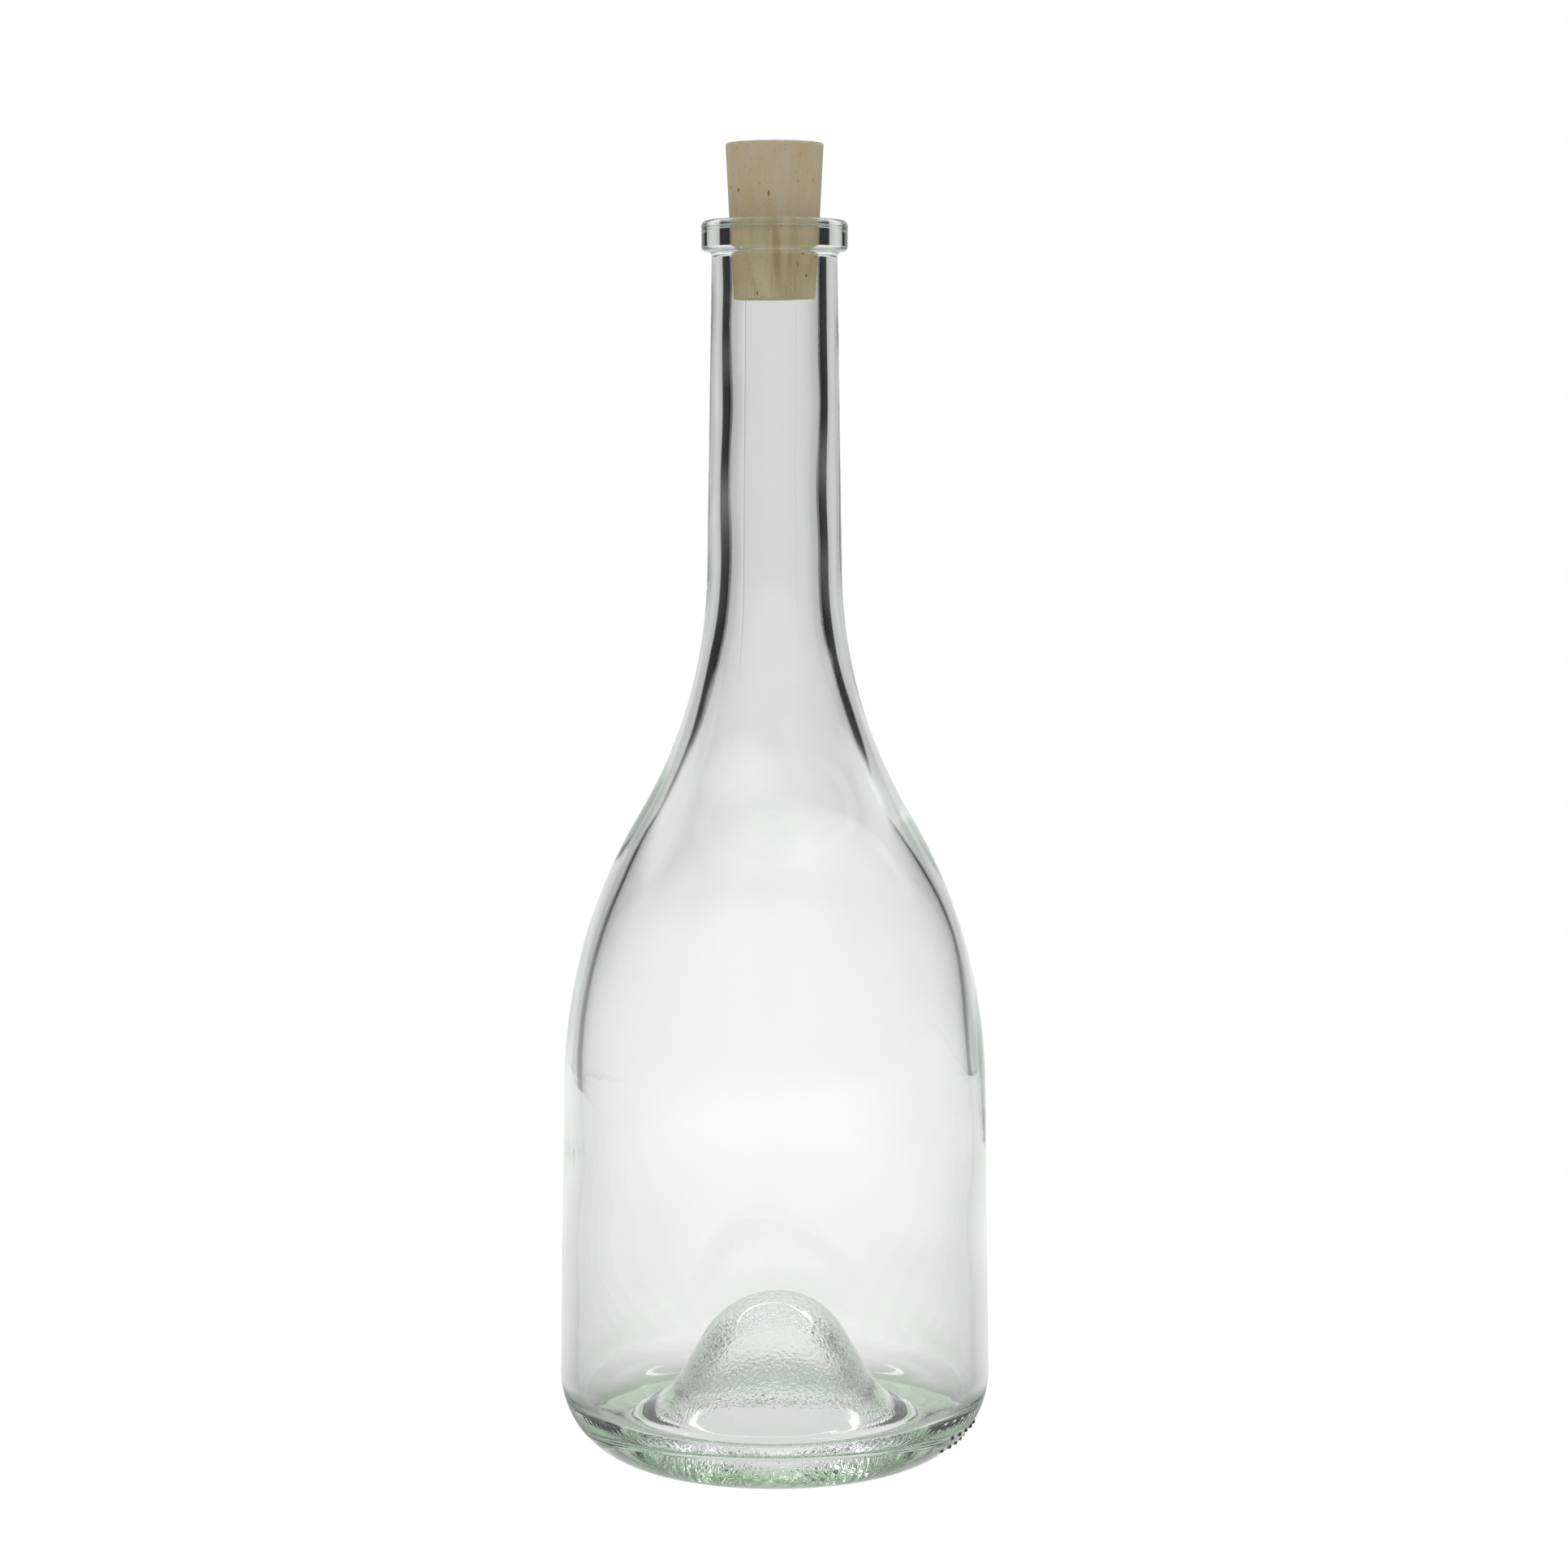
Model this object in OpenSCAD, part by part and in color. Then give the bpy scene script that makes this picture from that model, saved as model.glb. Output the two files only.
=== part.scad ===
// Clear glass bottle for half a litre, with a long neck, a banded lip and a deep push-up under it,
// closed by a plain tapered cork stopper. The glass is one turned section; the cork is another.
// Lengths are millimetres and angles are degrees. Z runs up the bottle's axis from the face it
// stands on.

/* [Body] */
// Height of the glass from the standing face to the top of the lip
glass_h = 242.8; // [230:0.1:270]
// Outer diameter where the heel turns into the body
body_d = 84.8; // [78:0.1:92]
// Lean of the body wall, narrower towards the shoulder
body_draft = 0.84; // [0:0.02:2]
// Radius of the round heel
heel_r = 17.2; // [15:0.1:19]
// Outer diameter of the ring that the bottle stands on
standing_ring_d = 57.8; // [53:0.1:63]

/* [Shoulder and neck] */
// Height where the body starts to round over into the shoulder
shoulder_z = 74.6; // [60:0.1:84]
// Radius of the outward swell of the shoulder
shoulder_r = 105.7; // [90:0.1:118]
// Radius of the inward sweep from the shoulder to the neck
sweep_r = 94.7; // [78:0.1:108]
// Outer diameter of the neck just under the lip
neck_d = 24.4; // [23.4:0.1:24.6]
// Lean of the neck wall, wider towards the shoulder
neck_draft = 0.9; // [0:0.02:1.4]

/* [Lip] */
// Outer diameter of the lip
lip_d = 28.4; // [28.2:0.1:32]
// Height of the lip's band
lip_h = 6; // [4.5:0.1:9]
// Rounding of the lip's upper outer edge
lip_top_round = 1.1; // [0.6:0.1:1.6]
// Rounding of the lip's lower outer edge
lip_under_round = 0.9; // [0.4:0.1:1]
// Fillet between the neck and the underside of the lip
lip_fillet = 1; // [0.4:0.1:1.1]
// Height of the parting bead round the lip, over the lip's band
lip_bead_h = 0.08; // [0.04:0.01:0.3]

/* [Inside] */
// Diameter of the straight bore through the mouth and the neck
bore_d = 17.5; // [16.8:0.05:18.2]
// Rounding of the mouth's inner edge
mouth_round = 1.2; // [0.6:0.1:1.6]
// Thickness of the body wall above the heel
body_wall = 3.3; // [2.6:0.1:4.5]
// How much tighter the inside of the shoulder is, and how much wider the inside of the sweep
shoulder_wall = 1.5; // [0.5:0.1:3]
// Height of the inner floor above the standing face
floor_z = 8.6; // [7:0.1:10]
// Radius of the corner between the inner floor and the body wall
floor_corner_r = 7; // [5:0.1:8.4]

/* [Push-up] */
// Height of the top of the push-up inside the bottle
pushup_z = 32.2; // [28:0.1:33.8]
// Radius of the push-up's round crown, inside the bottle
pushup_crown_r = 16.5; // [15:0.1:17.4]
// Slope of the push-up's flank, from the level
pushup_flank = 60; // [59:0.5:64]
// Width of the flat strip between the push-up's flare and the corner of the inner floor
floor_flat_w = 0.3; // [0.1:0.1:4]
// Glass thickness of the push-up
pushup_wall = 4; // [3.4:0.1:5]
// Radius of the turn from the flank to the standing ring, underneath
pushup_root_r = 5; // [2:0.1:5.6]

/* [Mould marks] */
// Number of grooves that knurl the standing ring
knurl_count = 128; // [60:1:150]
// Diameter where the grooves start, outside the plain inner strip of the ring
knurl_in_d = 54.8; // [54:0.1:56]
// Diameter where the grooves run out into the heel
knurl_out_d = 62; // [58:0.1:64]
// Depth of a groove
knurl_depth = 0.3; // [0.1:0.05:0.5]
// Radius of a groove's round bottom
knurl_r = 0.45; // [0.3:0.05:0.5]
// Number of raised dots in each row on the heel
dot_count = 5; // [1:1:9]
// Radius of a raised dot
dot_r = 0.55; // [0.4:0.05:0.7]
// Distance between the dots of a row, and between the two rows
dot_pitch = 3.4; // [2:0.1:4]
// How far the middle of a dot lies under the heel's surface
dot_sink = 0.15; // [0.05:0.05:0.3]

/* [Cork] */
// Diameter of the cork's top
cork_top_d = 19; // [18.4:0.1:22]
// Diameter of the cork's bottom
cork_bottom_d = 16; // [14:0.1:16.6]
// Length of the cork
cork_h = 30; // [24:0.5:40]
// Rounding of the cork's top edge
cork_top_round = 0.4; // [0.2:0.05:0.8]
// Rounding of the cork's bottom edge
cork_bottom_round = 0.3; // [0.2:0.05:1]
// Space left between the cork and the edge of the bore where the taper wedges
cork_gap = 0.05; // [0.02:0.01:0.1]

/* [Hidden] */
$fn = 96;
// Largest distance between a round stretch of an outline and its chords
arc_tolerance = 0.02;
// Half of the width of the parting bead round the lip
lip_bead_half = 0.2;
// Side of the heel that carries the dots, turned from +X towards the front
dot_turn = 20;
// Place of the two rows on the round of the heel, below the level
dot_row_angle = 38;

body_r = body_d / 2;
bore_r = bore_d / 2;
neck_r = neck_d / 2;
lip_r = lip_d / 2;
standing_ring_r = standing_ring_d / 2;
lip_under_z = glass_h - lip_h;
neck_top_z = lip_under_z - lip_fillet;

// Heel: round, level with the body's draft at its top and cut by the standing face at its foot
heel_x = body_r - heel_r * cos(body_draft);
heel_z = sqrt(heel_r * heel_r - (standing_ring_r - heel_x) * (standing_ring_r - heel_x));
heel_top = on_circle([heel_x, heel_z], heel_r, body_draft);

// Seat of the cork: where its taper meets the edge of the bore
bore_top_z = glass_h - mouth_round;
cork_seat_r = bore_r - cork_gap;
cork_slope = (cork_top_d - cork_bottom_d) / 2 / cork_h;
cork_top_z = bore_top_z + (cork_top_d / 2 - cork_seat_r) / cork_slope;

// Point at an angle on a circle
function on_circle(centre, r, angle) = centre + r * [cos(angle), sin(angle)];

// Points along an arc, after its first point, as many as the tolerance asks for
function arc(centre, r, from, to) =
    let (step = 2 * acos(1 - arc_tolerance / r))
    let (count = ceil(abs(to - from) / step))
    [for (i = [1:count]) on_circle(centre, r, from + (to - from) * i / count)];

// Radius of a wall with a draft at a height, from its radius at another height
function leaning_r(r, at_z, z, draft) = r - (z - at_z) * tan(draft);

// Centre of the swell: its arc starts square to the body's wall
function swell_centre(start, r, draft) = start - r * [cos(draft), sin(draft)];

// Centre of the sweep: it touches the swell's circle and the leaning line of the neck
function sweep_centre(swell, swell_radius, sweep_radius, neck_x, neck_z, draft) =
    let (lean = tan(draft))
    let (span = swell_radius + sweep_radius)
    let (reach = neck_x + neck_z * lean + sweep_radius / cos(draft) - swell.x)
    let (a = 1 + lean * lean)
    let (b = reach * lean + swell.y)
    let (c = reach * reach + swell.y * swell.y - span * span)
    let (z = (b + sqrt(b * b - a * c)) / a)
    [swell.x + reach - z * lean, z];

// Outline of a shoulder from the body up to the neck: a swell and a sweep that touch
function shoulder_outline(start, swell_radius, sweep_radius, wall_draft, neck_x, neck_z, draft) =
    let (swell = swell_centre(start, swell_radius, wall_draft))
    let (sweep = sweep_centre(swell, swell_radius, sweep_radius, neck_x, neck_z, draft))
    let (touch = atan2(sweep.y - swell.y, sweep.x - swell.x))
    concat(
        [start],
        arc(swell, swell_radius, wall_draft, touch),
        arc(sweep, sweep_radius, 180 + touch, 180 + draft)
    );

// Outside of the glass, from the standing ring up to the underside of the lip
function outer_outline() =
    let (foot = atan2(-heel_z, standing_ring_r - heel_x))
    let (start = [leaning_r(heel_top.x, heel_top.y, shoulder_z, body_draft), shoulder_z])
    concat(
        [[standing_ring_r, 0]],
        arc([heel_x, heel_z], heel_r, foot, body_draft),
        shoulder_outline(start, shoulder_r, sweep_r, body_draft, neck_r, neck_top_z, neck_draft),
        [[neck_r, neck_top_z]],
        arc([neck_r + lip_fillet, neck_top_z], lip_fillet, 180, 90)
    );

// Lip and mouth: a band with round edges, the parting bead and the round edge of the bore
function lip_outline() =
    let (bead_z = glass_h - lip_top_round - lip_bead_half)
    concat(
        [[lip_r - lip_under_round, lip_under_z]],
        arc([lip_r - lip_under_round, lip_under_z + lip_under_round], lip_under_round, -90, 0),
        [[lip_r, bead_z - lip_bead_half]],
        [[lip_r + lip_bead_h, bead_z]],
        [[lip_r, bead_z + lip_bead_half]],
        arc([lip_r - lip_top_round, glass_h - lip_top_round], lip_top_round, 0, 90),
        [[bore_r + mouth_round, glass_h]],
        arc([bore_r + mouth_round, bore_top_z], mouth_round, 90, 180)
    );

// Radius of the inner body wall at the start of the shoulder
function inner_start_r() = leaning_r(heel_top.x, heel_top.y, shoulder_z, body_draft) - body_wall;

// Inside of the shoulder and the neck, listed upwards like the outside
function inner_outline() =
    let (start = [inner_start_r(), shoulder_z])
    shoulder_outline(
        start, shoulder_r - shoulder_wall, sweep_r + shoulder_wall, body_draft, bore_r, bore_top_z, 0
    );

// Inner floor from the body wall to the middle: corner, flat strip, flare, flank and crown. The
// flare touches the flank's line and the floor, as far out as the flat strip leaves it room.
function floor_outline() =
    let (corner_z = floor_z + floor_corner_r)
    let (wall_r = leaning_r(inner_start_r(), shoulder_z, corner_z, body_draft))
    let (corner_x = wall_r - floor_corner_r * cos(body_draft))
    let (crown_z = pushup_z - pushup_crown_r)
    let (flank_top = on_circle([0, crown_z], pushup_crown_r, 90 - pushup_flank))
    let (flank_foot_r = flank_top.x + (flank_top.y - floor_z) / tan(pushup_flank))
    let (flare_x = corner_x - floor_flat_w)
    let (flare_r = (flare_x - flank_foot_r) / tan(pushup_flank / 2))
    concat(
        [on_circle([corner_x, corner_z], floor_corner_r, body_draft)],
        arc([corner_x, corner_z], floor_corner_r, body_draft, -90),
        [[flare_x, floor_z]],
        arc([flare_x, floor_z + flare_r], flare_r, -90, -90 - pushup_flank),
        [flank_top],
        arc([0, crown_z], pushup_crown_r, 90 - pushup_flank, 90)
    );

// Underside of the push-up from the middle out to the standing ring
function underside_outline() =
    let (crown_z = pushup_z - pushup_crown_r)
    let (crown_r = pushup_crown_r - pushup_wall)
    let (flank_top = on_circle([0, crown_z], crown_r, 90 - pushup_flank))
    let (root_top_z = pushup_root_r * (1 - cos(pushup_flank)))
    let (root_top_r = flank_top.x + (flank_top.y - root_top_z) / tan(pushup_flank))
    let (root_x = root_top_r + pushup_root_r * sin(pushup_flank))
    concat(
        [[0, crown_z + crown_r]],
        arc([0, crown_z], crown_r, 90, 90 - pushup_flank),
        [[root_top_r, root_top_z]],
        arc([root_x, pushup_root_r], pushup_root_r, -90 - pushup_flank, -90)
    );

function backwards(points) = [for (i = [len(points) - 1:-1:0]) points[i]];

// Whole section of the glass on one side of the axis
module glass_section() {
    polygon(concat(
        outer_outline(),
        lip_outline(),
        backwards(inner_outline()),
        floor_outline(),
        underside_outline()
    ));
}

// Raised dots of the mould: two even rows round the side of the heel
module mould_dots() {
    dot_centre_r = heel_r - dot_sink;
    row_step = dot_pitch / 2 / heel_r * 180 / PI;
    for (row = [-1, 1]) {
        place = on_circle([heel_x, heel_z], dot_centre_r, -dot_row_angle + row * row_step);
        turn_step = dot_pitch / place.x * 180 / PI;
        for (i = [0:dot_count - 1])
            rotate([0, 0, -dot_turn + (i - (dot_count - 1) / 2) * turn_step])
                translate([place.x, 0, place.y])
                    sphere(r = dot_r, $fn = 24);
    }
}

// Short grooves across the standing ring, which leave bars between them to stand on
module knurl_grooves() {
    for (i = [0:knurl_count - 1])
        rotate([0, 0, 360 * i / knurl_count])
            translate([knurl_in_d / 2, 0, knurl_depth - knurl_r])
                rotate([0, 90, 0])
                    cylinder(r = knurl_r, h = (knurl_out_d - knurl_in_d) / 2, $fn = 24);
}

module bottle() {
    color([0.86, 0.93, 0.88, 0.45])
        difference() {
            union() {
                rotate_extrude() glass_section();
                mould_dots();
            }
            knurl_grooves();
        }
}

// Tapered cork, with its top and bottom edges slightly rounded
module cork_stopper() {
    bottom_r = cork_bottom_d / 2;
    top_r = cork_top_d / 2;
    lean = atan(cork_slope);
    bottom_centre = [bottom_r + cork_bottom_round * (tan(lean) - 1 / cos(lean)), cork_bottom_round];
    top_centre = [
        top_r - cork_top_round * (tan(lean) + 1 / cos(lean)),
        cork_h - cork_top_round
    ];
    color([0.80, 0.70, 0.55])
        translate([0, 0, cork_top_z - cork_h])
            rotate_extrude()
                polygon(concat(
                    [[0, 0]],
                    [[bottom_centre.x, 0]],
                    arc(bottom_centre, cork_bottom_round, -90, -lean),
                    [on_circle(top_centre, cork_top_round, -lean)],
                    arc(top_centre, cork_top_round, -lean, 90),
                    [[0, cork_h]]
                ));
}

bottle();
cork_stopper();
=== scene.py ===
import math

import bpy
import numpy as np
from bpy.props import FloatProperty, FloatVectorProperty, IntProperty, PointerProperty
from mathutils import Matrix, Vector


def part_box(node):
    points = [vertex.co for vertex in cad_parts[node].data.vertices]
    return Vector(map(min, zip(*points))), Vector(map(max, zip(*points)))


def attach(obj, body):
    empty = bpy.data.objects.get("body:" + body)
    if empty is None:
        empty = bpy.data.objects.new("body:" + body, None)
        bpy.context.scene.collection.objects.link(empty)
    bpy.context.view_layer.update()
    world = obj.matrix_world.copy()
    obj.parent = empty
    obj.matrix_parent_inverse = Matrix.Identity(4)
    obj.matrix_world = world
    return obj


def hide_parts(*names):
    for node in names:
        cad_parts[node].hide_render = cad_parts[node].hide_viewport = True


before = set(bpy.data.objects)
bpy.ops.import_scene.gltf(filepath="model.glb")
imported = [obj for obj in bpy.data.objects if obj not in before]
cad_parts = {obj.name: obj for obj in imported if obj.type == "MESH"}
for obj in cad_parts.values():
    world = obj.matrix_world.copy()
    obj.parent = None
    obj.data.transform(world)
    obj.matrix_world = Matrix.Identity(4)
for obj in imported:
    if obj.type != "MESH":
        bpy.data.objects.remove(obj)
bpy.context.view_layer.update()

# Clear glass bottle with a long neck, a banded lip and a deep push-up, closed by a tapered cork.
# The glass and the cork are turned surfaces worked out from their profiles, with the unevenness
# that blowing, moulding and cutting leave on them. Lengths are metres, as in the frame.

bl_info = {
    "name": "Corked glass bottle",
    "version": (1, 0, 0),
    "blender": (4, 5, 0),
    "location": "3D View > Sidebar > Bottle",
    "description": "Blown glass bottle with a knurled standing ring, closed by a tapered cork",
    "category": "Add Mesh",
}

GLASS_LOW, GLASS_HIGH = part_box("bottle")
CORK_LOW, CORK_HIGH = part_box("cork_stopper")
FULL_TURN = 2 * math.pi
MM = 0.001

# Slack for comparing heights
SLACK = 1e-9

# Waves of the unevenness: seed, number of terms, shortest wavelength and most lobes round the axis
NECK_WAVES = (4, 12, 24 * MM, 2)
BODY_WAVES = (9, 14, 40 * MM, 3)
BASE_WAVES = (21, 18, 14 * MM, 6)
SKIN_WAVES = (33, 16, 12 * MM, 9)
STIPPLE_WAVES = (52, 40, 1.8 * MM, 46)
GRAIN_WAVES = (3, 40, 20 * MM, 90)

# Where the marks fade: heights over the floor, depths under the mouth, or radii under the bottle
NECK_HEIGHTS = (130 * MM, 160 * MM)
BODY_HEIGHTS = (34 * MM, 60 * MM)
BASE_HEIGHTS = (34 * MM, 50 * MM)
SKIN_HEIGHTS = (20 * MM, 40 * MM)
SEAM_HEIGHTS = (150 * MM, 166 * MM)
GROOVE_START_HEIGHTS = (0.6 * MM, 1.2 * MM)
GROOVE_END_HEIGHTS = (5 * MM, 8 * MM)
PLAIN_DEPTHS = (8 * MM, 14 * MM)
SEAM_DEPTHS = (0.4 * MM, 1.2 * MM)
STIPPLE_START_RADII = (1 * MM, 4 * MM)
STIPPLE_END_RADII = (22 * MM, 26 * MM)

# Zones of the profile: under the bottle, outside and inside
UNDER, OUTER, INNER = 0, 1, 2

# Angles over which the points lie closer, at a mould seam and beside the dots
SEAM_SPREAD = math.radians(1.2)
DOT_SPREAD = math.radians(12)

# How far past a dot's radius its fine rows reach
DOT_REACH = 1.4

# What the cork's pits and chips are drawn from: the seed, then ranges
CORK_SEED = 12
PIT_PLACES = (0.02, 0.98)
PIT_SHARES = (0.25, 1)
PIT_WIDTHS = (0.1 * MM, 0.3 * MM)
PIT_HEIGHTS = (0.15 * MM, 0.7 * MM)
CHIP_WIDTHS = (0.4 * MM, 1.3 * MM)
CHIP_DEPTHS = (0.15 * MM, 0.45 * MM)

# How far a chip reaches from the top edge, in depths of the chip
CHIP_REACH = 1.6

# Rings of the floor's light: where each starts, where it ends, and how much brighter it gets there
FLOOR_RINGS = ((0.0, 0.12, 0.16), (0.1, 0.42, 0.12), (0.6, 1.2, -0.10), (1.0, 3.0, -0.13))

# Where the light at the sides starts and ends: distances from the axis and sideways
CLOSE_RADII = (0.07, 0.2)
WIDE_RADII = (0.25, 0.42)
NEAR_SIDES = (0.008, 0.04)
WIDE_SIDES = (0.02, 0.06)


def length(name, description, default):
    """Property for a length in metres"""
    return FloatProperty(
        name=name, description=description, default=default, min=0, precision=6, unit="LENGTH"
    )


def angle(name, description, degrees):
    """Property for an angle, given in degrees and kept in radians"""
    return FloatProperty(
        name=name, description=description, default=math.radians(degrees), subtype="ANGLE"
    )


def number(name, description, default):
    """Property for a plain number"""
    return FloatProperty(name=name, description=description, default=default, precision=4)


def count(name, description, default):
    """Property for a whole number"""
    return IntProperty(name=name, description=description, default=default, min=1)


def colour(name, description, default):
    """Property for a colour"""
    return FloatVectorProperty(
        name=name, description=description, default=default, subtype="COLOR", min=0, max=1
    )


class BottleSizes(bpy.types.PropertyGroup):
    """Sizes of the glass, as in the frame"""

    height: length("Height", "Height of the glass", GLASS_HIGH.z)
    body: length("Body radius", "Radius where the heel turns into the body",
                 min(GLASS_HIGH.x, -GLASS_LOW.x, GLASS_HIGH.y, -GLASS_LOW.y))
    body_draft: angle("Body draft", "Lean of the body wall", 0.84)
    heel: length("Heel", "Radius of the round heel", 17.2 * MM)
    ring: length("Standing ring", "Outer radius of the ring that the bottle stands on", 28.9 * MM)
    shoulder: length("Shoulder height", "Height where the shoulder starts", 74.6 * MM)
    swell: length("Swell", "Radius of the outward swell of the shoulder", 105.7 * MM)
    sweep: length("Sweep", "Radius of the inward sweep to the neck", 94.7 * MM)
    neck: length("Neck", "Outer radius of the neck under the lip", 12.2 * MM)
    neck_draft: angle("Neck draft", "Lean of the neck wall", 0.9)
    lip: length("Lip", "Outer radius of the lip", 14.2 * MM)
    lip_height: length("Lip height", "Height of the lip's band", 6.0 * MM)
    lip_top: length("Lip's upper edge", "Rounding of the lip's upper edge", 1.1 * MM)
    lip_under: length("Lip's lower edge", "Rounding of the lip's lower edge", 0.9 * MM)
    lip_fillet: length("Lip fillet", "Fillet between the neck and the lip", 1.0 * MM)
    bead: length("Parting bead", "Height of the parting bead round the lip", 0.08 * MM)
    bead_half: length("Bead half width", "Half of the width of the parting bead", 0.2 * MM)
    bore: length("Bore", "Radius of the bore at the mouth", 8.75 * MM)
    mouth: length("Mouth edge", "Rounding of the mouth's inner edge", 1.2 * MM)
    wall: length("Body wall", "Thickness of the body wall", 3.3 * MM)
    shoulder_wall: length("Shoulder wall", "How much tighter the inside of the swell is", 1.5 * MM)
    floor: length("Floor height", "Height of the inner floor", 8.6 * MM)
    corner: length("Floor corner", "Radius of the corner of the inner floor", 7.0 * MM)
    pushup: length("Push-up height", "Height of the push-up inside", 32.2 * MM)
    crown: length("Push-up crown", "Radius of the push-up's crown inside", 16.5 * MM)
    flank: angle("Push-up flank", "Slope of the push-up's flank", 60)
    flat: length("Flat floor", "Width of the flat strip round the push-up's flare", 0.3 * MM)
    pushup_wall: length("Push-up wall", "Thickness of the push-up", 4.0 * MM)
    root: length("Push-up root", "Radius of the turn into the standing ring", 5.0 * MM)
    knurls: count("Knurl grooves", "Number of grooves across the standing ring", 128)
    knurl_in: length("Knurl start", "Radius where the grooves start", 27.4 * MM)
    knurl_out: length("Knurl end", "Radius where the grooves run out", 31.0 * MM)
    knurl_depth: length("Knurl depth", "Depth of a groove", 0.3 * MM)
    knurl_round: length("Knurl round", "Radius of a groove's bottom", 0.45 * MM)
    knurl_ramp: length("Knurl ramp", "Length over which a groove reaches its depth", 0.3 * MM)
    dots: count("Dots", "Number of raised dots in a row on the heel", 5)
    dot: length("Dot radius", "Radius of a raised dot", 0.55 * MM)
    dot_pitch: length("Dot pitch", "Distance between two dots", 3.4 * MM)
    dot_sink: length("Dot sink", "How far a dot's middle lies under the surface", 0.15 * MM)
    dot_turn: angle("Dot side", "Side of the heel with the dots", -20)
    dot_place: angle("Dot place", "Place of the rows on the round of the heel", -38)


class GlassFinish(bpy.types.PropertyGroup):
    """Marks of blowing and moulding, and the glass itself"""

    columns: count("Columns", "Points round the glass where it is plain", 150)
    knurl_fold: count("Knurl fold", "How many times finer the knurling is", 8)
    dot_fold: count("Dot fold", "How many times finer the rows of dots are", 4)
    neck_ripple: length("Neck ripple", "Unevenness of the inner wall of the neck", 0.13 * MM)
    body_ripple: length("Body ripple", "Unevenness of the inner wall of the body", 0.28 * MM)
    skin_ripple: length("Skin ripple", "Unevenness of the moulded outside", 0.012 * MM)
    base_ripple: length("Base ripple", "Unevenness of the inner floor", 0.01 * MM)
    stipple: length("Stipple", "Height of the stipple under the push-up", 0.006 * MM)
    frost: number("Frost", "Roughness of the mould's print under the push-up", 0.11)
    frost_low: length("Full frost", "Radius where the frost starts to fade", 21.0 * MM)
    frost_end: length("Frost end", "Radius where the frost under the push-up ends", 24.0 * MM)
    green_low: length("Full green", "Height where the heel's green starts to fade", 4.0 * MM)
    green_top: length("Green heel", "Height up to which the heel shows its green", 10.0 * MM)
    seam: length("Seam", "Height of the mould seam", 0.05 * MM)
    seam_half: length("Seam half width", "Half of the width of the mould seam", 0.12 * MM)
    seam_turn: angle("Seam side", "Direction of the first mould seam", -117)
    wave: length("Waves", "Height of the slow waves of the surface", 0.05 * MM)
    wave_scale: number("Wave scale", "Slow waves in a metre", 90.0)
    fine_scale: number("Fine wave scale", "Fine waves in a metre", 420.0)
    grit_scale: number("Grit scale", "Grains of the frost in a metre", 1500.0)
    grit: number("Grit", "Height of the frost's grains, in slow waves", 9.0)
    groove: number("Groove run-out", "Height of the grooves up the heel, in slow waves", 0.4)
    smudge_scale: number("Smudge scale", "Smudges in a metre", 60.0)
    ior: number("Refraction", "Index of refraction of the glass", 1.52)
    tint: colour("Tint", "Colour of light through thick glass", (0.80, 0.96, 0.83))
    depth: number("Tint density", "How fast thick glass takes on the tint", 10.0)
    base_tint: colour("Base tint", "Tint of the thick base", (0.28, 0.46, 0.25))


class CorkSizes(bpy.types.PropertyGroup):
    """Sizes and finish of the cork"""

    top: length("Top radius", "Radius of the cork's top", 9.5 * MM)
    bottom: length("Bottom radius", "Radius of the cork's bottom", 8.0 * MM)
    top_round: length("Top edge", "Rounding of the top edge", 0.4 * MM)
    bottom_round: length("Bottom edge", "Rounding of the bottom edge", 0.3 * MM)
    columns: count("Columns", "Points round the cork", 256)
    row: length("Row height", "Distance between two rows of points", 0.26 * MM)
    pits: count("Pits", "Number of pits in the cork's side", 46)
    pit_depth: length("Pit depth", "Depth of the deepest pit", 0.3 * MM)
    chips: count("Chips", "Number of chips out of the top edge", 7)
    grain: length("Grain", "Depth of the upright grain", 0.02 * MM)
    rough: length("Roughness", "Depth of the rough surface", 0.12 * MM)
    streak_scale: number("Streak scale", "Tan streaks in a metre", 420.0)
    cloud_scale: number("Cloud scale", "Tan clouds in a metre", 130.0)
    speck_scale: number("Speck scale", "Specks in a metre", 2600.0)
    grain_scale: number("Grain scale", "Fibres of the grain in a metre", 1500.0)
    # Painted light: the cork inside the neck gets a brighter colour, which fades out over these
    # depths under the mouth, in place of the light that the glass keeps from it
    neck_light_depth: length("Painted light depth", "Depth under the mouth where the part with painted light fades out", 3 * MM)
    neck_light_fade: length("Painted light fade", "Height over which the part with painted light fades out", 4 * MM)
    rim_width: length("Rim width", "Width of the peach rim", 0.8 * MM)
    vein_place: length("Vein place", "Distance of the tan vein from the middle", 0.3 * MM)
    vein: length("Vein", "Half of the width of the tan vein", 0.9 * MM)
    pale: colour("Pale cork", "Colour of the pale cork", (0.445, 0.38, 0.27))
    # Painted light: a brighter, yellower colour for the cork inside the neck, in place of the light
    # that the glass keeps from it
    painted_neck_light: colour("Neck cork with painted light", "Colour of the cork inside the neck", (0.71, 0.625, 0.375))
    tan: colour("Tan cork", "Colour of the tan streaks", (0.41, 0.31, 0.17))
    dark: colour("Dark cork", "Colour inside the pits", (0.10, 0.06, 0.035))
    rim: colour("Rim", "Colour of the cut edge at the top", (0.72, 0.47, 0.26))


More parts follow.
